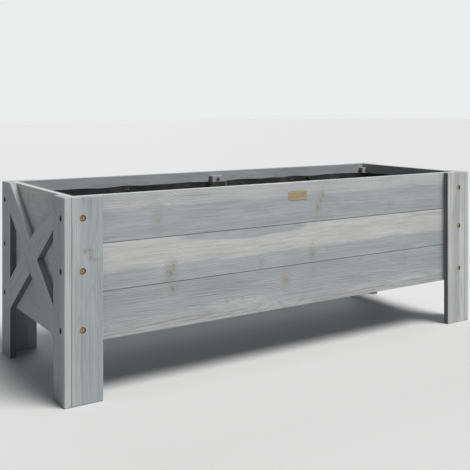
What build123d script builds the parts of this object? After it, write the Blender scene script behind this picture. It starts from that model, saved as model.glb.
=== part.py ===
"""Raised planter on legs: a long wooden box of grooved boards, carried by four L-shaped legs.

Units are millimetres. +X runs along the length, +Y from front to rear, +Z up.
The origin is on the ground, in the middle of the plan.
"""
from build123d import *
from math import sqrt
import os

# ---- overall sizes -------------------------------------------------------------------------
length = 1000.0
depth = 364.0
height = 352.5

# ---- panel boards --------------------------------------------------------------------------
board_thickness = 12.5      # every outer board is planed to this
board_width = 84.0          # height of one panel board
panel_board_names = ["lower", "middle", "upper"]
tongue_thickness = 4.0
tongue_length = 5.0
groove_gap = 0.25           # room round a tongue in its groove
arris = 0.9                 # radius that eases the long edges of every board

# ---- legs and braces -----------------------------------------------------------------------
leg_face_width = 57.0       # board on the long face
leg_side_width = 55.5       # board on the end face
brace_width = 48.0

# ---- inner frame and floor -----------------------------------------------------------------
cleat_width = 15.0          # square section of the corner cleats
batten_width = 30.0
batten_thickness = 15.0
batten_drop = 10.0          # cleats and battens end this far below the rim
rail_thickness = 15.0
rail_height = 20.0
rail_lift = 4.0             # the rails sit above the panel's bottom edge, out of sight
slat_thickness = 12.0
slat_pitch_wanted = 95.0
drain_gap = 8.0             # between slats
fit_gap = 1.0               # round a piece that drops in between others

# ---- screws --------------------------------------------------------------------------------
screw_head_diameter = 9.0
screw_head_height = 2.6
screw_head_chamfer = 0.5
screw_diameter = 4.0        # core of the thread
screw_tip = 4.0
screw_tip_radius = 0.4
drive_width = 0.9           # cross recess
drive_span = 5.0
drive_depth = 1.5
counterbore_diameter = 10.5
counterbore_depth = 4.0
passing_gap = 0.25          # radial, where a screw passes through a board
biting_gap = 0.02           # radial, where it bites
tip_room = 0.6              # hole left beyond the tip
face_screw_length = 34.0
side_screw_length = 24.0
cleat_screw_length = 32.0
brace_screw_length = 18.0
rail_screw_length = 20.0
slat_screw_length = 22.0
batten_screw_length = 20.0
low_screw_lift = 26.0       # lowest leg screws, above the panel's bottom edge
high_screw_drop = 36.0      # highest leg screws, below the rim
inner_screw_drop = 20.0     # cleat and batten screws, below each board's top edge
notch_wall = 3.75           # wood left between a slat's notch and the nearest counterbore

# ---- liner, staples and name plate -----------------------------------------------------------
liner_thickness = 1.0
liner_gap = 0.5             # between the hanging liner and the wood
liner_drop = 22.0           # its hem hangs this far below the rim
staple_crown = 11.0
staple_wire = 1.2
staple_wire_thickness = 0.7
staple_leg = 8.0
staple_drop = 9.0           # below the liner's hem
long_side_staples = 3       # in each half of a long side
end_staple_spacing = 70.0
plate_length = 46.0
plate_height = 18.0
plate_thickness = 0.8
plate_corner = 2.0
plate_drop = 27.0           # plate's centre below the rim

# ---- levels and planes worked out from the sizes above -----------------------------------------
panel_height = board_width * len(panel_board_names)
panel_bottom = height - panel_height
inner_length = length - 4 * board_thickness
inner_depth = depth - 4 * board_thickness
rail_bottom = panel_bottom + rail_lift
slat_bottom = rail_bottom + rail_height
floor_top = slat_bottom + slat_thickness
batten_top = height - batten_drop
liner_top = height - liner_drop
counterbore_floor = board_thickness - counterbore_depth

leg_screw_levels = [panel_bottom + low_screw_lift, panel_bottom + panel_height / 2, height - high_screw_drop]
board_tops = [panel_bottom + board_width * (i + 1) for i in range(len(panel_board_names))]
inner_screw_levels = [top - inner_screw_drop for top in board_tops]
corners = [(end, side) for end in (-1, 1) for side in (-1, 1)]
end_name = {-1: "left", 1: "right"}
side_name = {-1: "front", 1: "rear"}

pieces = {}
holes = []


def screw(screw_length):
    """A flat-headed screw: its seat is at z = 0, the head above and the shank below."""
    radius = screw_diameter / 2
    head = Pos(0, 0, screw_head_height / 2) * Cylinder(screw_head_diameter / 2, screw_head_height)
    head = chamfer(head.edges().group_by(Axis.Z)[-1], screw_head_chamfer)
    shank = Pos(0, 0, (screw_tip - screw_length) / 2) * Cylinder(radius, screw_length - screw_tip)
    tip = Pos(0, 0, screw_tip / 2 - screw_length) * Cone(screw_tip_radius, radius, screw_tip)
    slot = Pos(0, 0, screw_head_height) * Box(drive_span, drive_width, 2 * drive_depth)
    return head + shank + tip - slot - Rot(0, 0, 90) * slot


def screw_hole(screw_length, passed):
    """The room a screw needs: a counterbore, a wide hole through what it passes, a tight one beyond."""
    over = 0.5
    bite = screw_length + tip_room - passed
    counterbore = Pos(0, 0, (counterbore_depth + over) / 2) * Cylinder(
        counterbore_diameter / 2, counterbore_depth + over)
    wide = Pos(0, 0, -passed / 2) * Cylinder(screw_diameter / 2 + passing_gap, passed)
    tight = Pos(0, 0, -passed - bite / 2) * Cylinder(screw_diameter / 2 + biting_gap, bite)
    return counterbore + wide + tight


def drive_screws(name, screw_length, passed, seats):
    """Put one screw at each seat, a point and the direction its head faces, as one node."""
    body = screw(screw_length)
    hole = screw_hole(screw_length, passed)
    places = [Plane(origin=point, z_dir=facing).location for point, facing in seats]
    pieces[name] = Compound(children=[place * body for place in places])
    holes.extend(place * hole for place in places)


def eased_box(x_size, y_size, z_size):
    """A plain board or batten with every edge eased."""
    block = Box(x_size, y_size, z_size)
    return fillet(block.edges(), arris)


def panel_board(section_plane, board_length, tongue, groove):
    """A board run through the moulder: eased long edges, a tongue on top, a groove underneath."""
    section = RectangleRounded(board_thickness, board_width, arris)
    if tongue:
        section += Pos(0, (board_width + tongue_length) / 2) * Rectangle(tongue_thickness, tongue_length)
    if groove:
        cut_depth = tongue_length + groove_gap
        section -= Pos(0, (cut_depth - board_width) / 2) * Rectangle(
            tongue_thickness + 2 * groove_gap, cut_depth)
    return extrude(section_plane * section, amount=board_length / 2, both=True)


def make_panel(name, section_plane, board_length, place):
    """Three boards, one above the other, each a node of its own."""
    last = len(panel_board_names) - 1
    for i, level in enumerate(panel_board_names):
        board = panel_board(section_plane, board_length, tongue=i < last, groove=i > 0)
        middle = board_tops[i] - board_width / 2
        pieces[f"{name}_board_{level}"] = place * Pos(0, 0, middle) * board


# ---- front, rear and end panels -----------------------------------------------------------------
long_panel_y = depth / 2 - 1.5 * board_thickness
end_panel_x = length / 2 - 1.5 * board_thickness
for side in (-1, 1):
    make_panel(side_name[side], Plane.YZ, length - 2 * board_thickness, Pos(0, side * long_panel_y, 0))
for end in (-1, 1):
    make_panel(end_name[end] + "_end", Plane.XZ, inner_depth, Pos(end * end_panel_x, 0, 0))

# ---- legs: two boards make an L at each corner -----------------------------------------------------
for end, side in corners:
    corner = f"{side_name[side]}_{end_name[end]}"
    side_board = eased_box(board_thickness, leg_side_width, height)
    side_board_y = side * (depth - leg_side_width) / 2
    side_board_x = end * (length - board_thickness) / 2
    pieces[f"leg_side_{corner}"] = Pos(side_board_x, side_board_y, height / 2) * side_board
    face_board = eased_box(leg_face_width, board_thickness, height)
    face_board_x = end * (length / 2 - board_thickness - leg_face_width / 2)
    face_board_y = side * (depth - board_thickness) / 2
    pieces[f"leg_face_{corner}"] = Pos(face_board_x, face_board_y, height / 2) * face_board

# ---- X braces: two boards halved across each other, between the side boards of the legs -------------
brace_span = depth - 2 * leg_side_width
# The vertical cut at a brace's end is the width over the cosine of its slope, and the slope
# follows from that cut, because the brace fills the panel from its top edge to its bottom edge.
width_sq = brace_width**2
span_sq = brace_span**2
cut_terms = width_sq**2 * panel_height**2 + (span_sq - width_sq) * width_sq * (span_sq + panel_height**2)
brace_cut = (sqrt(cut_terms) - width_sq * panel_height) / (span_sq - width_sq)
brace_rise = panel_height - brace_cut
brace_slope = brace_rise / brace_span
brace_middle = panel_bottom + panel_height / 2


def brace_board(lean, ease):
    """One brace of the X, square to +X and centred on it; lean is the sign of its slope."""
    ends = [(-1, -1), (1, -1), (1, 1), (-1, 1)]
    outline = [(u * brace_span / 2, lean * u * brace_rise / 2 + v * brace_cut / 2) for u, v in ends]
    board = extrude(Plane.YZ * make_face(Polyline(*outline, close=True)), board_thickness / 2, both=True)
    along = Vector(0, 1, lean * brace_slope).normalized()
    long_edges = board.edges().filter_by(lambda edge: abs(abs((edge % 0.5).dot(along)) - 1) < 1e-6)
    return fillet(long_edges, arris) if ease else board


for end in (-1, 1):
    place = Pos(end * (length - board_thickness) / 2, 0, brace_middle)
    half = Box(board_thickness, brace_span, panel_height)
    outer_half = Pos(end * board_thickness / 2, 0, 0) * half
    inner_half = Pos(-end * board_thickness / 2, 0, 0) * half
    lean = -end
    over = brace_board(lean, ease=True) - (brace_board(-lean, ease=False) & inner_half)
    under = brace_board(-lean, ease=True) - (brace_board(lean, ease=False) & outer_half)
    pieces[f"{end_name[end]}_brace_over"] = place * over
    pieces[f"{end_name[end]}_brace_under"] = place * under

# ---- inner frame: corner cleats, middle battens and floor rails -------------------------------------
cleat_x = (inner_length - cleat_width) / 2
cleat_y = (inner_depth - cleat_width) / 2
cleat_height = batten_top - rail_bottom
for end, side in corners:
    cleat = eased_box(cleat_width, cleat_width, cleat_height)
    place = Pos(end * cleat_x, side * cleat_y, rail_bottom + cleat_height / 2)
    pieces[f"corner_cleat_{side_name[side]}_{end_name[end]}"] = place * cleat

batten_height = batten_top - floor_top
batten_y = (inner_depth - batten_thickness) / 2
rail_length = inner_length - 2 * cleat_width - 2 * fit_gap
rail_y = (inner_depth - rail_thickness) / 2
for side in (-1, 1):
    batten = eased_box(batten_width, batten_thickness, batten_height)
    pieces[f"{side_name[side]}_batten"] = Pos(0, side * batten_y, floor_top + batten_height / 2) * batten
    rail = eased_box(rail_length, rail_thickness, rail_height)
    pieces[f"{side_name[side]}_floor_rail"] = Pos(0, side * rail_y, rail_bottom + rail_height / 2) * rail

# ---- slatted floor, laid across the rails; the end slats are notched round the cleats ----------------
floor_length = inner_length - 2 * fit_gap
slat_count = round(floor_length / slat_pitch_wanted)
slat_pitch = (floor_length + drain_gap) / slat_count
slat_width = slat_pitch - drain_gap
slat_places = [(i - (slat_count - 1) / 2) * slat_pitch for i in range(slat_count)]
cleat_notch = 2 * (cleat_width + fit_gap)
notches = [Pos(end * inner_length / 2, side * inner_depth / 2, height / 2) * Box(cleat_notch, cleat_notch, height)
           for end, side in corners]
for i, x in enumerate(slat_places):
    slat = Pos(x, 0, slat_bottom + slat_thickness / 2) * eased_box(
        slat_width, inner_depth - 2 * fit_gap, slat_thickness)
    if i in (0, slat_count - 1):
        slat -= notches
    pieces[f"floor_slat_{i + 1:02d}"] = slat

# ---- screws ------------------------------------------------------------------------------------------
face_screw_x = inner_length / 2 - cleat_width / 2
drive_screws("face_screws", face_screw_length, counterbore_floor + board_thickness, [
    ((end * face_screw_x, side * (depth / 2 - counterbore_depth), z), (0, side, 0))
    for end, side in corners for z in leg_screw_levels])
drive_screws("side_screws", side_screw_length, counterbore_floor, [
    ((end * (length / 2 - counterbore_depth), side * long_panel_y, z), (end, 0, 0))
    for end, side in corners for z in leg_screw_levels])

cleat_seat_x = inner_length / 2 - cleat_width + counterbore_depth
drive_screws("cleat_screws", cleat_screw_length, cleat_width - counterbore_depth + board_thickness, [
    ((end * cleat_seat_x, side * cleat_y, z), (-end, 0, 0))
    for end, side in corners for z in inner_screw_levels])

# Each brace is screwed once through the middle of every end board; at the crossing one screw
# holds both.
brace_seat_x = inner_length / 2 + counterbore_depth
board_middles = [top - board_width / 2 for top in board_tops]
brace_points = {(lean * (z - brace_middle) / brace_slope, z) for z in board_middles for lean in (-1, 1)}
drive_screws("brace_screws", brace_screw_length, counterbore_floor, [
    ((end * brace_seat_x, y, z), (-end, 0, 0)) for end in (-1, 1) for y, z in sorted(brace_points)])

# The rail screws stand under every second drain gap, clear of the slat screws.
gap_places = [x + slat_pitch / 2 for x in slat_places[:-1:2]]
drive_screws("rail_screws", rail_screw_length, rail_thickness - counterbore_depth, [
    ((x, side * (inner_depth / 2 - rail_thickness + counterbore_depth), rail_bottom + rail_height / 2),
     (0, -side, 0))
    for side in (-1, 1) for x in gap_places])
# A slat's screws clear the cleat's notch in the end slats, and the others follow them.
slat_screw_inset = cleat_width + counterbore_diameter / 2 + notch_wall
slat_screw_offset = slat_width / 2 - slat_screw_inset
drive_screws("slat_screws", slat_screw_length, slat_thickness - counterbore_depth, [
    ((x + edge * slat_screw_offset, side * rail_y, floor_top - counterbore_depth), (0, 0, 1))
    for x in slat_places for edge in (-1, 1) for side in (-1, 1)])
drive_screws("batten_screws", batten_screw_length, batten_thickness - counterbore_depth, [
    ((0, side * (inner_depth / 2 - batten_thickness + counterbore_depth), z), (0, -side, 0))
    for side in (-1, 1) for z in inner_screw_levels])


def drilled(piece):
    """The piece with the room of every screw that reaches it taken out."""
    box = piece.bounding_box()
    for hole in holes:
        room = hole.bounding_box()
        apart = any(low > high for low, high in [*zip(tuple(box.min), tuple(room.max)),
                                                 *zip(tuple(room.min), tuple(box.max))])
        if not apart:
            piece -= hole
    return piece


wooden = [name for name in pieces if not name.endswith("screws")]
for name in wooden:
    pieces[name] = drilled(pieces[name])


# ---- liner: a fabric bag that hangs on the panels and runs round the cleats and battens ---------------
def liner_plan(margin):
    """The plan of the box's inside, this far in from every piece of wood."""
    plan = Rectangle(inner_length - 2 * margin, inner_depth - 2 * margin)
    corner_cut = 2 * (cleat_width + margin)
    for end, side in corners:
        plan -= Pos(end * inner_length / 2, side * inner_depth / 2) * Rectangle(corner_cut, corner_cut)
    for side in (-1, 1):
        plan -= Pos(0, side * inner_depth / 2) * Rectangle(
            batten_width + 2 * margin, 2 * (batten_thickness + margin))
    return plan


liner_height = liner_top - floor_top
bag = extrude(Pos(0, 0, floor_top) * liner_plan(liner_gap), liner_height)
liner_floor = floor_top + liner_thickness
liner = bag - extrude(Pos(0, 0, liner_floor) * liner_plan(liner_gap + liner_thickness), liner_height)


def staple():
    """A wide-crown staple: the crown lies on z = 0, its legs go down."""
    crown = Pos(0, 0, staple_wire_thickness / 2) * Box(staple_crown, staple_wire, staple_wire_thickness)
    legs = [Pos(side * (staple_crown - staple_wire) / 2, 0, -staple_leg / 2)
            * Box(staple_wire, staple_wire, staple_leg) for side in (-1, 1)]
    return crown + legs


staple_level = liner_top - staple_drop
staple_inset = liner_gap + liner_thickness
long_side_spacing = (inner_length / 2 - cleat_width) / long_side_staples
staple_seats = [((end * (i + 0.5) * long_side_spacing, side * (inner_depth / 2 - staple_inset), staple_level),
                 (0, -side, 0), (1, 0, 0))
                for end, side in corners for i in range(long_side_staples)]
staple_seats += [((end * (inner_length / 2 - staple_inset), i * end_staple_spacing, staple_level),
                  (-end, 0, 0), (0, 1, 0))
                 for end in (-1, 1) for i in (-1, 0, 1)]
staple_bodies = [Plane(origin=point, x_dir=crown_way, z_dir=facing).location * staple()
                 for point, facing, crown_way in staple_seats]
pieces["liner_staples"] = Compound(children=staple_bodies)
pieces["liner"] = liner - staple_bodies
for name in ["front_board_upper", "rear_board_upper", "left_end_board_upper", "right_end_board_upper"]:
    pieces[name] -= staple_bodies

# ---- name plate: blank, in the middle of the top front board -------------------------------------------
plate = extrude(Plane.XZ * RectangleRounded(plate_length, plate_height, plate_corner), plate_thickness)
pieces["name_plate"] = Pos(0, board_thickness - depth / 2, height - plate_drop) * plate

os.makedirs("parts", exist_ok=True)
for name, piece in pieces.items():
    export_step(piece, f"parts/{name}.step")
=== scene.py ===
import bmesh
import bpy
from math import cos, exp, pi, radians, sin
from mathutils import Matrix, Vector, noise


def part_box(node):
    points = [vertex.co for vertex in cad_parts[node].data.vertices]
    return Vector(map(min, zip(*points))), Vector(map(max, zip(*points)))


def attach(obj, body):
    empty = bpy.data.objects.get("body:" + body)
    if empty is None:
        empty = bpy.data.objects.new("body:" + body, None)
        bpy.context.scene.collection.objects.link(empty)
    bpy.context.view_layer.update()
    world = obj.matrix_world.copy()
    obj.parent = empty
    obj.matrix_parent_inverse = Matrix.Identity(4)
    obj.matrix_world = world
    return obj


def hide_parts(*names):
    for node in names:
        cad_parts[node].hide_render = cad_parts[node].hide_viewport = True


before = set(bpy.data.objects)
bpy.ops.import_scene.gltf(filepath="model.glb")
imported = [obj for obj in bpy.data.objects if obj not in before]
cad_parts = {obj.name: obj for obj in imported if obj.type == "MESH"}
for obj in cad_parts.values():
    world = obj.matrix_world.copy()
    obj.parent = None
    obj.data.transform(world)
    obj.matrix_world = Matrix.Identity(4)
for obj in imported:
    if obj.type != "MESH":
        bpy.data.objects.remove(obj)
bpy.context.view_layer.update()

# ---- Viewpoint --------------------------------------------------------------------------------
# The planter is seen over its front left corner, from a little above its rim.
# The lens is level and slid down, so that every upright stays upright.
camera_data = bpy.data.cameras.new("viewpoint")
camera_data.sensor_width = 36.0
camera_data.lens = 58.46
camera_data.shift_y = -0.268
camera = bpy.data.objects.new("viewpoint", camera_data)
camera.location = (-0.9526, -1.4075, 0.5015)
camera.rotation_euler = (radians(90), 0, radians(-32.865))
bpy.context.scene.collection.objects.link(camera)
bpy.context.scene.camera = camera

# ---- Studio -----------------------------------------------------------------------------------
# A plain pale floor and one large soft light, high in front and a little to the right, so that
# the left end lies in open shade. A weaker one behind and the surroundings fill in the rest.
bpy.context.scene.view_settings.view_transform = "Standard"
bpy.ops.object.select_all(action="DESELECT")
bpy.ops.mesh.primitive_plane_add(size=60, location=(0, 0, -0.0005))
floor = bpy.context.object
floor.name = "studio_floor"
floor_paint = bpy.data.materials.new("studio_floor_paint")
floor_paint.use_nodes = True
floor_shader = floor_paint.node_tree.nodes["Principled BSDF"]
floor_shader.inputs["Base Color"].default_value = (0.53, 0.533, 0.536, 1)
floor_shader.inputs["Roughness"].default_value = 0.9
floor_shader.inputs["Specular IOR Level"].default_value = 0.1
floor.data.materials.append(floor_paint)

# Each light has its power, its softness in degrees, its tint and the way towards it.
studio_lights = {"key_light": (4.1, 30, (1.0, 0.988, 0.968), (0.26, -0.42, 0.87)),
                 "rear_fill": (1.25, 50, (0.97, 0.985, 1.0), (0.30, 0.86, 0.42))}
for name, (power, softness, tint, toward) in studio_lights.items():
    light_data = bpy.data.lights.new(name, "SUN")
    light_data.energy, light_data.angle, light_data.color = power, radians(softness), tint
    light = bpy.data.objects.new(name, light_data)
    light.rotation_euler = Vector(toward).to_track_quat("Z", "Y").to_euler()
    bpy.context.scene.collection.objects.link(light)

surroundings = bpy.data.worlds.new("surroundings")
surroundings.use_nodes = True
bpy.context.scene.world = surroundings
sky = surroundings.node_tree.nodes["Background"]
sky.inputs["Color"].default_value = (0.93, 0.96, 1.0, 1)
sky.inputs["Strength"].default_value = 0.19
backdrop = surroundings.node_tree.nodes.new("ShaderNodeBackground")
backdrop.inputs["Color"].default_value = (0.84, 0.845, 0.85, 1)
seen = surroundings.node_tree.nodes.new("ShaderNodeLightPath")
either = surroundings.node_tree.nodes.new("ShaderNodeMixShader")
join = surroundings.node_tree.links.new
join(seen.outputs["Is Camera Ray"], either.inputs["Fac"])
join(sky.outputs[0], either.inputs[1])
join(backdrop.outputs[0], either.inputs[2])
join(either.outputs[0], surroundings.node_tree.nodes["World Output"].inputs["Surface"])

# ---- Front and rear panels --------------------------------------------------------------------
# Three fir boards a side, planed, tongued and grooved, one above the other. They are stained with
# a thin grey wash, which takes paler on the sapwood and leaves the knots showing brown.
MM = 1000.0
tongue = 0.005


def add(tree, kind, settings=None, **values):
    """A node with its settings, and its input sockets set or joined by name or by number."""
    node = tree.nodes.new("ShaderNode" + kind)
    for setting, value in (settings or {}).items():
        setattr(node, setting, value)
    for name, value in values.items():
        by_number = name[0] == "i" and name[1:].isdigit()
        socket = node.inputs[int(name[1:]) if by_number else name.replace("_", " ")]
        if isinstance(value, bpy.types.NodeSocket):
            tree.links.new(value, socket)
        else:
            socket.default_value = value
    return node


def maths(tree, operation, *values, clamp=False):
    """A Math node's result."""
    settings = {"operation": operation, "use_clamp": clamp}
    return add(tree, "Math", settings, **{f"i{i}": v for i, v in enumerate(values)}).outputs[0]


def stretched(tree, point, seed, scale, detail=3.0, roughness=0.55):
    """Noise drawn out along the grain: scale is in repeats per millimetre along, across and through."""
    drawn = add(tree, "VectorMath", {"operation": "MULTIPLY"}, i0=point, i1=scale).outputs[0]
    return add(tree, "TexNoise", {"noise_dimensions": "4D"}, Vector=drawn, W=seed, Scale=1.0,
               Detail=detail, Roughness=roughness).outputs[0]


def remap(tree, value, low, high, to_low, to_high, smooth=True):
    """A value moved from one range to another, and held at its ends."""
    kind = {"interpolation_type": "SMOOTHSTEP" if smooth else "LINEAR"}
    node = add(tree, "MapRange", kind, Value=value)
    for i, number in enumerate((low, high, to_low, to_high)):
        node.inputs[i + 1].default_value = number
    return node.outputs[0]


def mix(tree, share, first, second):
    """Two colours mixed."""
    node = tree.nodes.new("ShaderNodeMix")
    node.data_type = "RGBA"
    for socket, value in zip((node.inputs[0], node.inputs[6], node.inputs[7]), (share, first, second)):
        if isinstance(value, bpy.types.NodeSocket):
            tree.links.new(value, socket)
        else:
            socket.default_value = value
    return node.outputs[2]


def raised(tree, height, strength, distance):
    """The surface's normal, with this height standing out of it."""
    return add(tree, "Bump", Strength=strength, Distance=distance, Height=height).outputs[0]


def group(name, takes, gives):
    """An empty node group with its sockets."""
    tree = bpy.data.node_groups.new(name, "ShaderNodeTree")
    for side, names in (("INPUT", takes), ("OUTPUT", gives)):
        for socket, kind in names.items():
            tree.interface.new_socket(name=socket, in_out=side, socket_type="NodeSocket" + kind)
    start, end = tree.nodes.new("NodeGroupInput"), tree.nodes.new("NodeGroupOutput")
    return tree, start.outputs, end.inputs


# A knot bends the grain round itself and leaves a brown core with a soft halo, drawn out a little
# across the grain.
knot_group, knot_in, knot_out = group(
    "knot", {"Point": "Vector", "Place": "Vector", "Size": "Float", "Strength": "Float", "Bend": "Float",
             "Dark": "Float"}, {"Bend": "Float", "Dark": "Float"})
off = add(knot_group, "VectorMath", {"operation": "SUBTRACT"}, i0=knot_in["Point"], i1=knot_in["Place"])
parts = add(knot_group, "SeparateXYZ", i0=off.outputs[0])
rough = add(knot_group, "TexNoise", Vector=off.outputs[0], Scale=0.30, Detail=6.0, Roughness=0.72)
long_way = maths(knot_group, "MULTIPLY", parts.outputs["X"], 1.35)
cross_way = maths(knot_group, "MULTIPLY", parts.outputs["Y"], 0.8)
flat = add(knot_group, "CombineXYZ", X=long_way, Y=cross_way)
reach = add(knot_group, "VectorMath", {"operation": "LENGTH"}, i0=flat.outputs[0]).outputs["Value"]
reach = maths(knot_group, "DIVIDE", reach, maths(knot_group, "MULTIPLY", knot_in["Size"], 1.55))
ragged = maths(knot_group, "MULTIPLY_ADD", rough.outputs[0], 5.2, -2.6)
ragged = maths(knot_group, "ADD", reach, ragged)
core = remap(knot_group, ragged, -0.1, 0.75, 1.0, 0.0)
halo = remap(knot_group, ragged, 0.3, 2.1, 0.44, 0.0)
dark = maths(knot_group, "MULTIPLY", maths(knot_group, "MAXIMUM", core, halo), knot_in["Strength"])
knot_group.links.new(maths(knot_group, "MAXIMUM", knot_in["Dark"], dark), knot_out["Dark"])
squared = maths(knot_group, "POWER", maths(knot_group, "DIVIDE", reach, 2.6), 2.0)
fall = maths(knot_group, "EXPONENT", maths(knot_group, "MULTIPLY", squared, -1.0))
push = maths(knot_group, "MULTIPLY", maths(knot_group, "MULTIPLY", fall, parts.outputs["Y"]), -0.85)
knot_group.links.new(maths(knot_group, "ADD", knot_in["Bend"], push), knot_out["Bend"])

# Growth rings round a pith outside the board, long fibres, and the uneven wash over them.
fir_group, fir_in, fir_out = group(
    "grey_washed_fir",
    {"Point": "Vector", "Seed": "Float", "Pith": "Vector", "Band": "Float", "Bend": "Float", "Dark": "Float",
     "Rings": "Float", "Along": "Vector", "Across": "Vector"},
    {"Color": "Color", "Roughness": "Float", "Height": "Float"})
point, seed = fir_in["Point"], fir_in["Seed"]
spot = add(fir_group, "SeparateXYZ", i0=point).outputs
wander = maths(fir_group, "MULTIPLY_ADD",
               stretched(fir_group, point, seed, (0.0026, 0.010, 0.010)), 24.0, -12.0)
pith = add(fir_group, "SeparateXYZ", i0=fir_in["Pith"]).outputs
ring_y = maths(fir_group, "SUBTRACT", maths(fir_group, "ADD", spot["Y"], fir_in["Bend"]), pith["Y"])
ring_z = maths(fir_group, "ADD", maths(fir_group, "SUBTRACT", spot["Z"], pith["Z"]), wander)
from_pith = add(fir_group, "CombineXYZ", Y=ring_y, Z=ring_z)
radius = add(fir_group, "VectorMath", {"operation": "LENGTH"}, i0=from_pith.outputs[0]).outputs["Value"]
taper = maths(fir_group, "MULTIPLY", spot["X"], pith["X"])
radius = maths(fir_group, "ADD", radius, taper)
years = maths(fir_group, "MULTIPLY", radius, 0.09)
uneven = add(fir_group, "TexNoise", {"noise_dimensions": "1D"}, W=years, Scale=1.0, Detail=2.0)
uneven = maths(fir_group, "MULTIPLY", uneven.outputs[0], 2.6)
turns = maths(fir_group, "MULTIPLY_ADD", radius, 0.34, uneven)
saw = maths(fir_group, "FRACT", turns)
late_up = remap(fir_group, saw, 0.45, 0.88, 0.0, 1.0)
late_down = remap(fir_group, saw, 0.90, 1.0, 1.0, 0.0)
late = maths(fir_group, "MULTIPLY", late_up, late_down)
late_strength = remap(fir_group, stretched(fir_group, point, seed, (0.0022, 0.03, 0.03)),
                      0.35, 0.65, 0.35, 1.0)
late = maths(fir_group, "MULTIPLY", late, late_strength)
late = maths(fir_group, "MULTIPLY", late, fir_in["Rings"])
surface = add(fir_group, "NewGeometry").outputs["Normal"]
facing = []
for way in (fir_in["Along"], fir_in["Across"]):
    towards = add(fir_group, "VectorMath", {"operation": "DOT_PRODUCT"}, i0=surface, i1=way).outputs["Value"]
    facing.append(maths(fir_group, "ABSOLUTE", towards))
narrow_edge = remap(fir_group, facing[1], 0.8, 0.97, 0.0, 1.0)
fibre = stretched(fir_group, point, seed, (0.007, 0.5, 0.5), 5.0, 0.68)
fine = stretched(fir_group, point, seed, (0.03, 1.5, 1.5), 3.0, 0.6)
wash = stretched(fir_group, point, seed, (0.0065, 0.026, 0.026), 4.0, 0.6)
brush = stretched(fir_group, point, seed, (0.0028, 0.12, 0.12), 3.0, 0.55)
pores = remap(fir_group, stretched(fir_group, point, seed, (0.018, 0.85, 0.85), 2.0, 0.5),
              0.54, 0.70, 0.0, 1.0)
long_lines = remap(fir_group, stretched(fir_group, point, seed, (0.0032, 0.30, 0.30), 2.0, 0.5),
                   0.55, 0.68, 0.0, 1.0)

cool, warm = (0.330, 0.357, 0.373, 1), (0.480, 0.479, 0.477, 1)
late_brown, warm_brown = (0.30, 0.275, 0.245, 1), (0.39, 0.36, 0.32, 1)
knot_halo, knot_core = (0.285, 0.27, 0.238, 1), (0.155, 0.137, 0.112, 1)
end_grain, rubbed_grey = (0.25, 0.245, 0.235, 1), (0.405, 0.408, 0.402, 1)
bare = mix(fir_group, fir_in["Band"], cool, warm)
tone = maths(fir_group, "MULTIPLY", remap(fir_group, wash, 0.28, 0.72, 0.90, 1.07),
             remap(fir_group, brush, 0.3, 0.7, 0.965, 1.035))
tone = maths(fir_group, "MULTIPLY", tone, remap(fir_group, fibre, 0.3, 0.7, 0.905, 1.07))
tone = maths(fir_group, "MULTIPLY", tone, remap(fir_group, fine, 0.3, 0.7, 0.92, 1.07))
edge_lines = maths(fir_group, "MULTIPLY", narrow_edge, maths(fir_group, "MAXIMUM", late, long_lines))
for lines, darker in ((late, -0.07), (pores, -0.10), (long_lines, -0.085), (edge_lines, -0.20)):
    tone = maths(fir_group, "MULTIPLY", tone, maths(fir_group, "MULTIPLY_ADD", lines, darker, 1.0))
grey = add(fir_group, "VectorMath", {"operation": "SCALE"}, i0=bare)
fir_group.links.new(tone, grey.inputs["Scale"])
tinted = mix(fir_group, maths(fir_group, "MULTIPLY", late, 0.15), grey.outputs[0], late_brown)
warm_spots = remap(fir_group, stretched(fir_group, point, seed, (0.011, 0.03, 0.03), 3.0),
                   0.56, 0.76, 0.0, 0.26)
tinted = mix(fir_group, warm_spots, tinted, warm_brown)
knotted = mix(fir_group, remap(fir_group, fir_in["Dark"], 0.0, 0.4, 0.0, 0.6), tinted, knot_halo)
knotted = mix(fir_group, remap(fir_group, fir_in["Dark"], 0.35, 0.95, 0.0, 0.85), knotted, knot_core)

cut = remap(fir_group, facing[0], 0.75, 0.95, 0.0, 1.0)
ended = mix(fir_group, maths(fir_group, "MULTIPLY", cut, 0.45), knotted, end_grain)
squares = [maths(fir_group, "POWER", f, 2.0) for f in facing]
left_over = maths(fir_group, "SUBTRACT", 1.0, maths(fir_group, "ADD", *squares), clamp=True)
through = maths(fir_group, "SQRT", left_over)
flattest = maths(fir_group, "MAXIMUM", through, maths(fir_group, "MAXIMUM", *facing))
eased = remap(fir_group, flattest, 0.82, 0.985, 1.0, 0.0)
rubbed = maths(fir_group, "MULTIPLY", eased, remap(fir_group, fibre, 0.35, 0.65, 0.1, 0.4))
fir_group.links.new(mix(fir_group, rubbed, ended, rubbed_grey), fir_out["Color"])
rough = maths(fir_group, "MULTIPLY_ADD", fibre, 0.22, 0.66)
fir_group.links.new(maths(fir_group, "MULTIPLY_ADD", fir_in["Dark"], -0.12, rough), fir_out["Roughness"])
relief = maths(fir_group, "MULTIPLY_ADD", fibre, 0.9, maths(fir_group, "MULTIPLY", fine, 0.5))
relief = maths(fir_group, "MULTIPLY_ADD", pores, -0.6, relief)
fir_group.links.new(maths(fir_group, "MULTIPLY_ADD", late, 0.55, relief), fir_out["Height"])


resin_brown, bore_shade_paint = (0.245, 0.222, 0.185, 1), (0.06, 0.055, 0.048, 1)
seam_shade_paint = (0.035, 0.036, 0.036, 1)
pale_edge, edge_shade_paint = (0.46, 0.49, 0.487, 1), (0.062, 0.068, 0.073, 1)
bore_radius = 5.25


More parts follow.
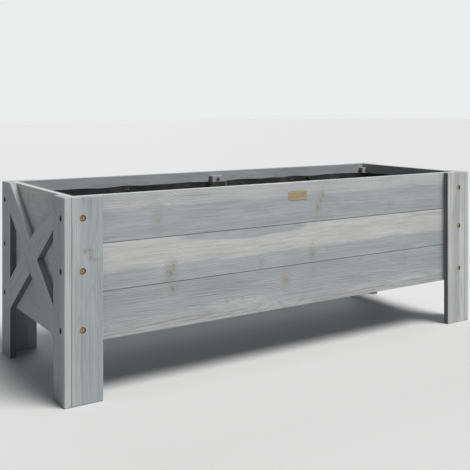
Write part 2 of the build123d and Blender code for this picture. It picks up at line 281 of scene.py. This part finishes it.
def wash_board(node, along, across, stock, bands, knots=(), heart=(0.012, 14.0, 62.0), strength=0.5,
               patches=(), joints=(False, False), bores=(), streaks=(), rings=1.0, edges=(0.0, 0.0)):
    """Give a board its own piece of washed fir.

    stock is which length it is cut from, each with a grain of its own, and heart is the pith's
    (taper, place across, depth below the face). bands are (millimetres across the grain,
    paleness), knots are (along, across, size, strength), and patches are (along, across, half
    length, half width, paleness), all from the board's middle. joints says whether a board meets
    its low and its high edge, where a thin line of painted shade darkens the seam, bores are the
    middles of its counterbores, each ringed with painted shade, and streaks are (across, half
    width, strength) of brown resin lines along the grain. rings is how plainly the growth rings
    show, and edges is how far the low and the high narrow edge are darkened with painted shade
    (below 0) or paler (above 0) than the face.
    """
    low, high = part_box(node)
    along, across = Vector(along).normalized(), Vector(across).normalized()
    high -= across * across.z * tongue * joints[1]
    turn = Matrix((along, across, along.cross(across)))
    material = bpy.data.materials.new(node + "_fir")
    material.use_nodes = True
    tree = material.node_tree
    place = add(tree, "Mapping", Vector=add(tree, "TexCoord").outputs["Object"])
    place.inputs["Location"].default_value = -(turn @ ((low + high) / 2)) * MM
    place.inputs["Rotation"].default_value = turn.to_euler()
    place.inputs["Scale"].default_value = (MM, MM, MM)
    here = place.outputs[0]
    bend, knot_dark = 0.0, 0.0
    for u, v, size, force in knots:
        knot = add(tree, "Group", {"node_tree": knot_group}, Point=here, Place=(u, v, 0), Size=size,
                   Strength=force, Bend=bend, Dark=knot_dark)
        bend, knot_dark = knot.outputs["Bend"], knot.outputs["Dark"]
    axis = add(tree, "SeparateXYZ", i0=here).outputs
    drift = maths(tree, "MULTIPLY_ADD",
                  stretched(tree, here, stock + 5.0, (0.0045, 0.004, 0.004), 2.0), 22.0, -11.0)
    frayed = maths(tree, "MULTIPLY_ADD",
                   stretched(tree, here, stock + 9.0, (0.02, 0.22, 0.22), 3.0), 5.0, -2.5)
    level = maths(tree, "ADD", axis["Y"], maths(tree, "ADD", drift, frayed))
    ramp = tree.nodes.new("ShaderNodeValToRGB")
    half = max(abs(v) for v, _ in bands) + 10.0
    tree.links.new(remap(tree, level, -half, half, 0.0, 1.0, smooth=False), ramp.inputs[0])
    stops = ramp.color_ramp.elements
    while len(stops) < len(bands):
        stops.new(0.5)
    for stop, (v, paleness) in zip(stops, sorted(bands)):
        stop.position = (v + half) / (2 * half)
        stop.color = (paleness, paleness, paleness, 1)
    band = ramp.outputs[0]
    for u, v, half_u, half_v, paleness in patches:
        near_u = maths(tree, "DIVIDE", maths(tree, "SUBTRACT", axis["X"], u), half_u)
        near_v = maths(tree, "DIVIDE", maths(tree, "SUBTRACT", level, v), half_v)
        far = maths(tree, "ADD", maths(tree, "POWER", maths(tree, "ABSOLUTE", near_u), 3.0),
                    maths(tree, "POWER", maths(tree, "ABSOLUTE", near_v), 3.0))
        band = mix(tree, remap(tree, far, 0.6, 1.2, 1.0, 0.0), band, (paleness, paleness, paleness, 1))
    fir = add(tree, "Group", {"node_tree": fir_group}, Point=here, Seed=stock, Pith=heart, Band=band,
              Bend=bend, Dark=knot_dark, Rings=rings, Along=along, Across=across)
    colour = fir.outputs["Color"]
    for v, half_v, force in streaks:
        near_v = maths(tree, "DIVIDE", maths(tree, "ABSOLUTE", maths(tree, "SUBTRACT", level, v)), half_v)
        broken = remap(tree, stretched(tree, here, stock + v, (0.012, 0.05, 0.05), 3.0), 0.42, 0.6, 0.15, 1.0)
        stain = maths(tree, "MULTIPLY", remap(tree, near_v, 0.2, 1.0, force, 0.0), broken)
        colour = mix(tree, stain, colour, resin_brown)
    surface = add(tree, "NewGeometry").outputs["Normal"]
    streaky = remap(tree, stretched(tree, here, stock + 3.0, (0.0015, 0.42, 0.42), 2.0),
                    0.44, 0.56, 0.25, 1.0)
    # A darkened narrow edge is painted shade; a paler one is a streaky planed edge.
    for way, tone in zip((-across, across), edges):
        if tone:
            faces_way = add(tree, "VectorMath", {"operation": "DOT_PRODUCT"}, i0=surface, i1=way)
            on_edge = remap(tree, faces_way.outputs["Value"], 0.8, 0.97, 0.0, abs(tone))
            share = maths(tree, "MULTIPLY", on_edge, streaky if tone > 0 else 1.0)
            colour = mix(tree, share, colour, pale_edge if tone > 0 else edge_shade_paint)
    edge = across.dot(high - low) * MM / 2
    # Where a board meets the next, a thin dark line of painted shade fills the seam.
    for meets, edge_way in zip(joints, (-1, 1)):
        if meets:
            near_edge = maths(tree, "MULTIPLY", axis["Y"], edge_way)
            near_edge = remap(tree, near_edge, edge - 1.0, edge - 0.35, 0.0, 0.75)
            colour = mix(tree, near_edge, colour, seam_shade_paint)
    # The wood round each counterbore is darkened with painted shade.
    for bore in bores:
        middle = turn @ (Vector(bore) - (low + high) / 2) * MM
        away = add(tree, "CombineXYZ", X=maths(tree, "SUBTRACT", axis["X"], middle.x),
                   Y=maths(tree, "SUBTRACT", axis["Y"], middle.y))
        away = add(tree, "VectorMath", {"operation": "LENGTH"}, i0=away.outputs[0]).outputs["Value"]
        shaded = remap(tree, away, bore_radius - 0.05, bore_radius + 0.65, 0.8, 0.0)
        colour = mix(tree, shaded, colour, bore_shade_paint)
    shader = tree.nodes["Principled BSDF"]
    shader.inputs["Specular IOR Level"].default_value = 0.28
    for source, socket in ((colour, "Base Color"), (fir.outputs["Roughness"], "Roughness"),
                           (raised(tree, fir.outputs["Height"], strength, 0.0005), "Normal")):
        tree.links.new(source, shader.inputs[socket])
    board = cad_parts[node]
    board.data.materials.clear()
    board.data.materials.append(material)


lengthwise, upright, crosswise = (1, 0, 0), (0, 0, 1), (0, 1, 0)
panel_boards = {
    "front_board_upper": (1.0, [(-42, 0.0), (11, 0.06), (18, 0.62), (42, 0.6)],
                          [(-320, -12, 10, 0.48), (65, 12, 4, 0.8), (59, 0, 4.5, 0.85), (52, -14, 5.5, 0.9),
                           (257, -22, 6, 0.55), (135, -11, 4, 0.4)],
                          (0.010, -10, 66), []),
    "front_board_middle": (2.0, [(-42, 0.0), (-12, 0.05), (-6, 0.92), (42, 0.98)],
                           [(-294, -25, 8.5, 0.85), (-287, -12, 5, 0.7), (37, -24, 9, 0.7),
                            (-92, -27, 6, 0.5)],
                           (0.016, 18, 48), [(-125, 38, 150, 12, 0.05)]),
    "front_board_lower": (3.0, [(-42, 0.42), (-20, 0.36), (-8, 0.1), (42, 0.0)],
                          [(-289, 28, 5.5, 0.95), (-294, 38, 3, 0.6), (40, 29, 6, 0.55), (-31, 14, 9, 0.7),
                           (302, 21, 7, 0.55), (-171, -8, 3, 0.55), (-135, -9, 3, 0.55),
                           (-105, -12, 2.5, 0.4)],
                          (0.045, -26, 40), [(-150, -16, 70, 12, 0.6)]),
    "rear_board_upper": (4.0, [(-42, 0.7), (-6, 0.6), (4, 0.05), (42, 0.0)], [(180, 12, 7, 0.6)],
                         (0.02, 24, 52), []),
    "rear_board_middle": (5.0, [(-42, 0.1), (14, 0.05), (24, 0.75), (42, 0.8)],
                          [(-210, -14, 8, 0.7), (330, 8, 5, 0.5)], (0.014, -20, 58), []),
    "rear_board_lower": (6.0, [(-42, 0.0), (-14, 0.05), (-4, 0.9), (20, 0.9), (30, 0.1)],
                         [(60, 18, 7, 0.6), (-390, -20, 5, 0.5)], (0.03, 8, 44), []),
}
panel_streaks = {"front_board_lower": [(-30, 2.6, 0.75), (-36, 1.4, 0.6)],
                 "front_board_upper": [(-34, 1.5, 0.3)],
                 "rear_board_middle": [(-20, 1.8, 0.4)]}
panel_rings = {"upper": 0.85, "middle": 0.55, "lower": 1.35}
for node, (stock, bands, knots, heart, patches) in panel_boards.items():
    wash_board(node, lengthwise, upright, stock, bands, knots, heart, patches=patches,
               streaks=panel_streaks.get(node, ()), rings=panel_rings[node.split("_")[-1]],
               joints=(not node.endswith("lower"), not node.endswith("upper")))

# ---- End panels -------------------------------------------------------------------------------
# Three short boards at each end, of the same section as the long ones and set in flush behind
# the legs. They are cut from the same washed stock, so no two match.
end_boards = {
    "left_end_board_upper": (11.0, [(-42, 0.35), (42, 0.75)], [(48, 18, 5, 0.6)], (0.02, 16, 55)),
    "left_end_board_middle": (12.0, [(-42, 0.1), (42, 0.3)], [(-62, -8, 6, 0.5)], (0.03, -22, 48)),
    "left_end_board_lower": (13.0, [(-42, 0.3), (0, 0.1), (42, 0.0)], [], (0.02, 30, 60)),
    "right_end_board_upper": (14.0, [(-42, 0.0), (8, 0.1), (16, 0.8), (42, 0.8)], [], (0.015, -14, 52)),
    "right_end_board_middle": (15.0, [(-42, 0.7), (-2, 0.6), (8, 0.1), (42, 0.1)], [(50, 10, 6, 0.6)],
                               (0.03, 20, 46)),
    "right_end_board_lower": (16.0, [(-42, 0.1), (42, 0.4)], [(-40, 14, 5, 0.5)], (0.02, 6, 57)),
}
for node, (stock, bands, knots, heart) in end_boards.items():
    wash_board(node, crosswise, upright, stock, bands, knots, heart,
               joints=(not node.endswith("lower"), not node.endswith("upper")))

# ---- Legs -------------------------------------------------------------------------------------
# Each leg is an L of two upright boards. The board on the long face butts against the one on the
# end face, whose planed edge shows beside it. Both run from the rim to the ground.
leg_boards = {
    "leg_face_front_left": (21.0, lengthwise, [(-28, 0.55), (-17, 0.42), (-9, 0.03), (28, 0.0)],
                            [(84, -3, 3.2, 1.0), (85, 4, 2.4, 1.0), (78, 5, 2.2, 0.8), (71, 6, 3.0, 1.0),
                             (68, 14, 3.2, 0.7)]),
    "leg_side_front_left": (22.0, crosswise, [(-28, 0.35), (-23, 0.4), (-12, 0.25), (-6, 0.05), (28, 0.0)],
                            []),
    "leg_face_front_right": (23.0, lengthwise, [(-28, 1.0), (-13, 1.0), (-6, 0.3), (9, 0.2), (15, 1.0)],
                             [(-60, 4, 3, 0.4)]),
    "leg_side_front_right": (24.0, crosswise, [(-28, 0.5), (-6, 0.1), (28, 0.3)], [(30, 6, 5, 0.6)]),
    "leg_face_rear_left": (25.0, lengthwise, [(-28, 0.1), (6, 0.1), (12, 0.7), (28, 0.8)],
                           [(-20, 4, 4, 0.6)]),
    "leg_side_rear_left": (26.0, crosswise, [(-28, 0.1), (8, 0.2), (28, 0.5)], [(-110, 6, 4, 0.6)]),
    "leg_face_rear_right": (27.0, lengthwise, [(-28, 0.6), (-2, 0.5), (8, 0.0), (28, 0.1)], []),
    "leg_side_rear_right": (28.0, crosswise, [(-28, 0.8), (-10, 0.7), (-2, 0.1), (28, 0.0)],
                            [(90, -4, 4, 0.5)]),
}
head_radius, board_half = 0.0045, 0.042
# The first darkens the inner narrow edges of the leg boards and the lower edges of the braces with painted
# shade; the second makes an outer edge paler.
edge_shade, pale = -0.75, 0.8               # how much darker or paler a narrow edge is
for node, (stock, across_way, bands, knots) in leg_boards.items():
    is_face, is_left = "face" in node, "left" in node
    low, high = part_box("face_screws" if is_face else "side_screws")
    middle_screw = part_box("front_board_middle")[0].z + board_half
    levels = [low.z + head_radius, middle_screw, high.z - head_radius]
    low, high = low + Vector((1, 1, 0)) * head_radius, high - Vector((1, 1, 0)) * head_radius
    bores = [(low.x if is_left else high.x, high.y if "rear" in node else low.y, z) for z in levels]
    outer_first = is_left if is_face else "front" in node
    outer = 0.0 if is_face else pale
    wash_board(node, upright, across_way, stock, bands, knots, (0.011, 9.0 - 3.0 * (stock % 5), 58.0),
               bores=bores, joints=(is_face and is_left, is_face and not is_left),
               edges=(outer, edge_shade) if outer_first else (edge_shade, outer))

# ---- X braces ---------------------------------------------------------------------------------
# Two boards cross on each end and are halved into each other, so that their faces are level. The
# grain of each follows its own slope.
brace_slope = 0.758              # rise over run
brace_boards = {
    "left_brace_over": (31.0, 1, [(-24, 0.1), (24, 0.25)], [(8, 6, 4.5, 0.6)]),
    "left_brace_under": (32.0, -1, [(-24, 0.2), (24, 0.1)], [(-70, -6, 4, 0.4)]),
    "right_brace_over": (33.0, -1, [(-24, 0.6), (0, 0.1), (24, 0.1)], []),
    "right_brace_under": (34.0, 1, [(-24, 0.1), (10, 0.1), (24, 0.7)], [(60, 4, 4, 0.5)]),
}
for node, (stock, lean, bands, knots) in brace_boards.items():
    # The lower narrow edge of each brace is darkened with painted shade.
    wash_board(node, (0, 1, lean * brace_slope), (0, -lean * brace_slope, 1), stock, bands, knots,
               (0.012, 20.0, 50.0), edges=(edge_shade, 0.0))

# ---- Corner cleats, battens and floor rails ---------------------------------------------------
# Square sticks and thin rails of the same fir, sawn to size. The sticks stand inside the box and
# tie the boards of each panel together, the rails carry the floor, and the screws bite into both.
sticks = sorted(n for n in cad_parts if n.startswith("corner_cleat") or n.endswith("_batten"))
for i, node in enumerate(sticks):
    wash_board(node, upright, lengthwise, 41.0 + i, [(-15, 0.2 + 0.1 * (i % 4)), (15, 0.1)], [],
               (0.02, 12.0 - 5.0 * i, 40.0), strength=0.7)
for i, node in enumerate(("front_floor_rail", "rear_floor_rail")):
    wash_board(node, lengthwise, upright, 51.0 + i, [(-10, 0.3), (10, 0.1 + 0.3 * i)],
               [(120 - 300 * i, 2, 4, 0.6)], (0.01, 14.0, 44.0), strength=0.7)

# ---- Floor slats ------------------------------------------------------------------------------
# Ten slats lie across the rails with a drain gap between each two. The end ones are notched round
# the cleats. Nobody picks them for looks, so they vary more than the panels.
slats = sorted(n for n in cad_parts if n.startswith("floor_slat"))
for i, node in enumerate(slats):
    turned_way = (-1) ** i
    wash_board(node, crosswise, lengthwise, 61.0 + i,
               [(-44, 0.1 + 0.08 * (i % 5)), (10 * turned_way, 0.1), (44, 0.5)],
               [(turned_way * (35 + 9 * i), 12 - 5 * (i % 6), 6, 0.7)] if i % 3 else [],
               (0.02, 30.0 - 13.0 * (i % 5), 42.0), strength=0.7)

# ---- Screws -----------------------------------------------------------------------------------
# Flat-headed wood screws with a cross recess, zinc plated and passivated yellow. The coating
# shimmers from straw to a faint green and rose. On the side boards of the legs the screws are
# darkened with painted shade.
def plate_screws(nodes, name, shade_share):
    """Yellow zinc plating for these screws, with this share of painted shade over it."""
    zinc = bpy.data.materials.new(name)
    zinc.use_nodes = True
    tree = zinc.node_tree
    in_metal = add(tree, "TexCoord").outputs["Object"]
    cloud = add(tree, "TexNoise", Vector=in_metal, Scale=420.0, Detail=3.0).outputs[0]
    tarnish = add(tree, "TexNoise", Vector=in_metal, Scale=150.0, Detail=4.0).outputs[0]
    scuffs = add(tree, "TexNoise", Vector=in_metal, Scale=1800.0, Detail=2.0).outputs[0]
    straw, green, rose = (0.50, 0.35, 0.17, 1), (0.43, 0.345, 0.19, 1), (0.47, 0.29, 0.19, 1)
    dull_brown, screw_shade_paint = (0.22, 0.165, 0.10, 1), (0.075, 0.06, 0.045, 1)
    shimmer = mix(tree, remap(tree, cloud, 0.35, 0.65, 0.0, 1.0), straw, green)
    shimmer = mix(tree, remap(tree, cloud, 0.6, 0.78, 0.0, 0.6), shimmer, rose)
    dulled_and_shaded = mix(tree, remap(tree, tarnish, 0.5, 0.72, 0.0, 0.6), shimmer, dull_brown)
    # Painted shade: this share of the colour is pulled towards black, as if the screw lay in shadow.
    dulled_and_shaded = mix(tree, shade_share, dulled_and_shaded, screw_shade_paint)
    shader = tree.nodes["Principled BSDF"]
    shader.inputs["Metallic"].default_value = 0.75
    tree.links.new(dulled_and_shaded, shader.inputs["Base Color"])
    tree.links.new(remap(tree, tarnish, 0.3, 0.7, 0.34, 0.6), shader.inputs["Roughness"])
    tree.links.new(raised(tree, scuffs, 0.25, 0.0001), shader.inputs["Normal"])
    for node in nodes:
        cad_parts[node].data.materials.clear()
        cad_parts[node].data.materials.append(zinc)


bright_screws = sorted(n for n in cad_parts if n.endswith("screws") and n != "side_screws")
plate_screws(bright_screws, "yellow_zinc", 0.0)
plate_screws(["side_screws"], "zinc_with_painted_shade", 0.75)

# ---- Liner ------------------------------------------------------------------------------------
# One piece of black non-woven cloth, 0.70 by 1.34 m, laid in the box. Its corners are folded into
# flat ears against the long sides, and staples hold it to the boards just below its edge.
cloth, ply = 0.0004, 0.0007
wood = Vector((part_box("right_end_board_middle")[0].x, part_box("rear_board_middle")[0].y))
liner_floor, liner_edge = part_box("liner")[0].z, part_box("liner")[1].z
cleat_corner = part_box("corner_cleat_rear_right")[0]
batten_low, batten_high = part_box("rear_batten")
turn_radius = 0.0541             # carries the cloth round in front of the cleat
foot_radius = 0.010              # where the sides rise from the floor
ear_slope, ear_start = 0.8, 0.004
ear_puff = 0.0018
batten_ramp = 0.018
past_batten, off_batten = 0.0012, 0.0003
lying_gap, nearest_ply, over_batten = 0.0005, 0.00035, 0.0006
fold_depth, swag_depth, hem_dip, floor_ripple = 0.0046, 0.0052, 0.0024, 0.0022
held_within, slack_grows = 0.008, 0.04          # round each staple
staple_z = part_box("liner_staples")[1].z - 0.0006
staples = [(cleat_corner.x * (i + 0.5) / 3, wood.y) for i in range(3)] + [(wood.x, 0.0), (wood.x, 0.07)]
end_steps, turn_steps, ear_steps, far_steps, batten_steps = 26, 18, 16, 44, 16
foot_steps, side_steps, floor_steps = 4, 34, 14


def long_side_wood(x):
    """Where the wood's face is on a long side, with the cloth's slope down from the batten."""
    edge = batten_high.x + past_batten
    share = min(max((x - edge) / batten_ramp, 0.0), 1.0)
    return batten_low.y - off_batten + (wood.y - batten_low.y + off_batten) * share * share * (3 - 2 * share)


def slack(x, y, z, along):
    """How far the cloth stands in from where it would lie if it were tight."""
    height = (z - liner_floor) / (liner_edge - liner_floor)
    tight = 1.0
    for staple_x, staple_y in staples:
        near = Vector((x - staple_x, y - staple_y, z - staple_z)).length
        share = min(max((near - held_within) / slack_grows, 0.0), 1.0)
        tight *= share * share * (3 - 2 * share)
    folds = noise.noise(Vector((along * 17, z * 5, 3.1)))
    folds += 0.45 * noise.noise(Vector((along * 46, z * 13, 8.7)))
    creases = 0.16 * noise.noise(Vector((along * 130, z * 90, 5.3)))
    swag = swag_depth * max(height - 0.45, 0.0) / 0.55
    return tight * (fold_depth * max(folds * 0.7 + 0.42 + creases, 0.0) * min(height * 5, 1.0) + swag)


def side_row(z):
    """One level of a quarter of the bag, from the middle of the end to the middle of the long side."""
    fold = ear_slope * max(z - liner_floor - foot_radius, 0.0)
    spread = min(fold / ear_start, 1.0)
    inner, middle, outer = (nearest_ply + ply * i * spread for i in (2, 1, 0))
    turn = wood - Vector((turn_radius, turn_radius))
    past_turn = turn.y + turn_radius * pi / 2 + turn.x
    row = []
    for i in range(end_steps + 1):
        y = turn.y * i / end_steps
        row.append((wood.x, y, (-1, 0), lying_gap + slack(wood.x, y, z, y), y))
    for i in range(1, turn_steps + 1):
        angle = pi / 2 * i / turn_steps
        out = Vector((cos(angle), sin(angle)))
        at = turn + out * turn_radius
        in_by = lying_gap + (inner - lying_gap) * i / turn_steps
        row.append((at.x, at.y, (-out.x, -out.y), in_by + slack(at.x, at.y, z, turn.y + turn_radius * angle),
                    turn.y + turn_radius * angle))
    for layer, in_by in enumerate((inner, middle, outer)):
        for i in range(ear_steps + 1):
            share = i / ear_steps if layer != 1 else 1 - i / ear_steps
            x = turn.x - fold * share
            loose = ear_puff * spread * exp(-((x - turn.x + fold) / 0.012) ** 2) if layer < 2 else 0.0
            if layer == 0 and i == 0:
                continue
            gap = in_by + loose + slack(x, wood.y, z, past_turn - x)
            row.append((x, long_side_wood(x), (0, -1), gap, -x - 3 * layer))
    start = turn.x - fold
    ramp = batten_high.x + batten_ramp + 0.004
    for i in range(1, far_steps + 1):
        x = start + (ramp - start) * i / far_steps
        row.append((x, long_side_wood(x), (0, -1), outer + slack(x, wood.y, z, past_turn - x), -x - 6))
    for i in range(1, batten_steps + 1):
        x = ramp * (1 - i / batten_steps)
        over = min(x / ramp, 1.0) ** 2
        gap = outer + over_batten + over * slack(x, wood.y, z, past_turn - x)
        row.append((x, long_side_wood(x), (0, -1), gap, -x - 6))
    return row


rows = []
for step in range(floor_steps):
    rows.append(("floor", step / floor_steps))
for step in range(foot_steps):
    rows.append(("foot", pi / 2 * step / foot_steps))
side_foot = liner_floor + foot_radius
for step in range(side_steps + 1):
    rows.append(("side", side_foot + (liner_edge - liner_floor - foot_radius) * step / side_steps))
quarter = []
for kind, value in rows:
    z = value if kind == "side" else liner_floor
    level, inset = z, 0.0
    if kind == "foot":
        inset, level = foot_radius * (1 - sin(value)), liner_floor + cloth + foot_radius * (1 - cos(value))
        z = max(level - cloth, z)
    if kind == "floor":
        inset, level = foot_radius, liner_floor + cloth
    line = []
    for x, y, (nx, ny), in_by, flat_along in side_row(z):
        x, y = x + nx * (in_by + inset), y + ny * (in_by + inset)
        up = level
        if kind == "side":
            dip = hem_dip * max((z - liner_floor) / (liner_edge - liner_floor) - 0.6, 0) / 0.4
            up = z - dip * (0.5 + noise.noise(Vector((x * 19, y * 19, 1.0))))
            cut = (flat_along, foot_radius * (pi / 2 - 1) + z - liner_floor)
        elif kind == "foot":
            cut = (flat_along, foot_radius * value)
        else:
            hub = min(x, wood.x - wood.y)
            x, y = hub + (x - hub) * value, y * value
            ripple = noise.noise(Vector((x * 14, y * 14, 0.4)))
            ripple += 0.5 * noise.noise(Vector((x * 43, y * 43, 6.2)))
            edge_share = min((1 - value) * 4, 1.0)
            up = level + floor_ripple * edge_share * max(ripple * 0.6 + 0.4, 0.0)
            cut = (x, y)
        line.append((Vector((x, y, up)), cut))
    quarter.append(line)

bag = bmesh.new()
cut_map = bag.loops.layers.uv.new("cut")
for way_x, way_y in ((1, 1), (-1, 1), (-1, -1), (1, -1)):
    grid = [[bag.verts.new((at.x * way_x, at.y * way_y, at.z)) for at, _ in line] for line in quarter]
    for r in range(len(grid) - 1):
        for c in range(len(grid[r]) - 1):
            ring = [(r, c), (r, c + 1), (r + 1, c + 1), (r + 1, c)]
            if way_x * way_y < 0:
                ring.reverse()
            face = bag.faces.new([grid[i][j] for i, j in ring])
            for loop, (i, j) in zip(face.loops, ring):
                at, cut = quarter[i][j]
                loop[cut_map].uv = at.xy if r < floor_steps else cut
bmesh.ops.remove_doubles(bag, verts=bag.verts, dist=0.000002)
bmesh.ops.dissolve_degenerate(bag, edges=bag.edges, dist=0.000001)
bmesh.ops.recalc_face_normals(bag, faces=bag.faces)
bag_mesh = bpy.data.meshes.new("liner_cloth")
bag.to_mesh(bag_mesh)
bag.free()
liner = bpy.data.objects.new("liner_cloth", bag_mesh)
bpy.context.scene.collection.objects.link(liner)
bpy.ops.object.select_all(action="DESELECT")
liner.select_set(True)
bpy.context.view_layer.objects.active = liner
thickness = liner.modifiers.new("thickness", "SOLIDIFY")
thickness.thickness, thickness.offset = cloth, 0.0
bpy.ops.object.modifier_apply(modifier=thickness.name)
bpy.ops.object.shade_smooth_by_angle(angle=radians(50))

nonwoven = bpy.data.materials.new("black_nonwoven")
nonwoven.use_nodes = True
tree = nonwoven.node_tree
cut_at = add(tree, "UVMap", {"uv_map": "cut"}).outputs[0]
in_space = add(tree, "TexCoord").outputs["Object"]
turned = add(tree, "Mapping", Vector=cut_at, Rotation=(0, 0, radians(45)), Scale=(1 / 0.0016, 1 / 0.0016, 1))
cell = add(tree, "VectorMath", {"operation": "FRACTION"}, i0=turned.outputs[0]).outputs[0]
from_middle = add(tree, "VectorMath", {"operation": "DISTANCE"}, i0=cell, i1=(0.5, 0.5, 0)).outputs["Value"]
bond = remap(tree, from_middle, 0.2, 0.34, 1.0, 0.0)
lint = add(tree, "TexNoise", Vector=in_space, Scale=2600.0, Detail=3.0, Roughness=0.6).outputs[0]
dusty = add(tree, "TexNoise", Vector=in_space, Scale=26.0, Detail=5.0, Roughness=0.6).outputs[0]
felt_dark, felt_light = (0.0135, 0.0135, 0.0145, 1), (0.033, 0.033, 0.035, 1)
pressed_black, dust = (0.010, 0.010, 0.011, 1), (0.13, 0.12, 0.105, 1)
black = mix(tree, remap(tree, lint, 0.35, 0.7, 0.0, 1.0), felt_dark, felt_light)
black = mix(tree, bond, black, pressed_black)
black = mix(tree, remap(tree, dusty, 0.5, 0.78, 0.0, 0.14), black, dust)
shader = tree.nodes["Principled BSDF"]
shader.inputs["Specular IOR Level"].default_value = 0.3
shader.inputs["Sheen Weight"].default_value = 0.18
shader.inputs["Sheen Roughness"].default_value = 0.5
tree.links.new(black, shader.inputs["Base Color"])
tree.links.new(remap(tree, lint, 0.3, 0.7, 0.72, 0.9), shader.inputs["Roughness"])
nap = maths(tree, "MULTIPLY_ADD", bond, -1.0, maths(tree, "MULTIPLY", lint, 0.6))
tree.links.new(raised(tree, nap, 0.6, 0.0003), shader.inputs["Normal"])
liner.data.materials.append(nonwoven)
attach(liner, "root")
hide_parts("liner")

# ---- Staples ----------------------------------------------------------------------------------
# Wide-crown staples bent from galvanised wire and shot through the liner into the boards, so that
# only their crowns show. They hold the liner up, with its edge left free above them.
wire = bpy.data.materials.new("galvanised_wire")
wire.use_nodes = True
tree = wire.node_tree
in_space = add(tree, "TexCoord").outputs["Object"]
drawn_marks = add(tree, "TexNoise", Vector=in_space, Scale=900.0, Detail=3.0).outputs[0]
bloom = add(tree, "TexNoise", Vector=in_space, Scale=260.0, Detail=4.0).outputs[0]
bright_zinc, dull_zinc = (0.62, 0.63, 0.64, 1), (0.38, 0.385, 0.39, 1)
silver = mix(tree, remap(tree, bloom, 0.42, 0.68, 0.0, 1.0), bright_zinc, dull_zinc)
shader = tree.nodes["Principled BSDF"]
shader.inputs["Metallic"].default_value = 0.9
tree.links.new(silver, shader.inputs["Base Color"])
tree.links.new(remap(tree, drawn_marks, 0.3, 0.7, 0.28, 0.5), shader.inputs["Roughness"])
tree.links.new(raised(tree, drawn_marks, 0.2, 0.0001), shader.inputs["Normal"])
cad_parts["liner_staples"].data.materials.clear()
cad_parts["liner_staples"].data.materials.append(wire)

# ---- Name plate -------------------------------------------------------------------------------
# A thin satin brass plate with rounded corners, glued in the middle of the front's top board. It
# is left blank but for the line engraved round its edge.
low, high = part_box("name_plate")
brass = bpy.data.materials.new("satin_brass")
brass.use_nodes = True
tree = brass.node_tree
place = add(tree, "Mapping", Vector=add(tree, "TexCoord").outputs["Object"])
place.inputs["Location"].default_value = -((low + high) / 2) * MM
place.inputs["Scale"].default_value = (MM, MM, MM)
half_line, engraved_in = 0.7, 2.0
axis = add(tree, "SeparateXYZ", i0=place.outputs[0]).outputs
edges = [maths(tree, "SUBTRACT", maths(tree, "ABSOLUTE", axis[way]), half_size)
         for way, half_size in (("X", (high.x - low.x) * MM / 2), ("Z", (high.z - low.z) * MM / 2))]
inset = maths(tree, "ABSOLUTE", maths(tree, "ADD", maths(tree, "MAXIMUM", *edges), engraved_in))
line = remap(tree, inset, half_line * 0.4, half_line, 1.0, 0.0)
brushed = add(tree, "VectorMath", {"operation": "MULTIPLY"}, i0=place.outputs[0], i1=(0.05, 2.0, 6.0))
hair = add(tree, "TexNoise", Vector=brushed.outputs[0], Scale=1.0, Detail=3.0).outputs[0]
patina = add(tree, "TexNoise", Vector=place.outputs[0], Scale=0.12, Detail=4.0).outputs[0]
light_brass, deep_brass = (0.44, 0.36, 0.25, 1), (0.36, 0.295, 0.20, 1)
patina_brown, cut_brass = (0.25, 0.20, 0.14, 1), (0.66, 0.50, 0.16, 1)
gold = mix(tree, remap(tree, hair, 0.3, 0.7, 0.0, 1.0), light_brass, deep_brass)
gold = mix(tree, remap(tree, patina, 0.5, 0.75, 0.0, 0.35), gold, patina_brown)
gold = mix(tree, maths(tree, "MULTIPLY", line, 0.85), gold, cut_brass)
shader = tree.nodes["Principled BSDF"]
shader.inputs["Metallic"].default_value = 0.65
tree.links.new(gold, shader.inputs["Base Color"])
tree.links.new(remap(tree, hair, 0.3, 0.7, 0.36, 0.5), shader.inputs["Roughness"])
plate_relief = maths(tree, "MULTIPLY_ADD", line, -1.0, maths(tree, "MULTIPLY", hair, 0.15))
tree.links.new(raised(tree, plate_relief, 0.5, 0.0002), shader.inputs["Normal"])
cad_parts["name_plate"].data.materials.clear()
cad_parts["name_plate"].data.materials.append(brass)
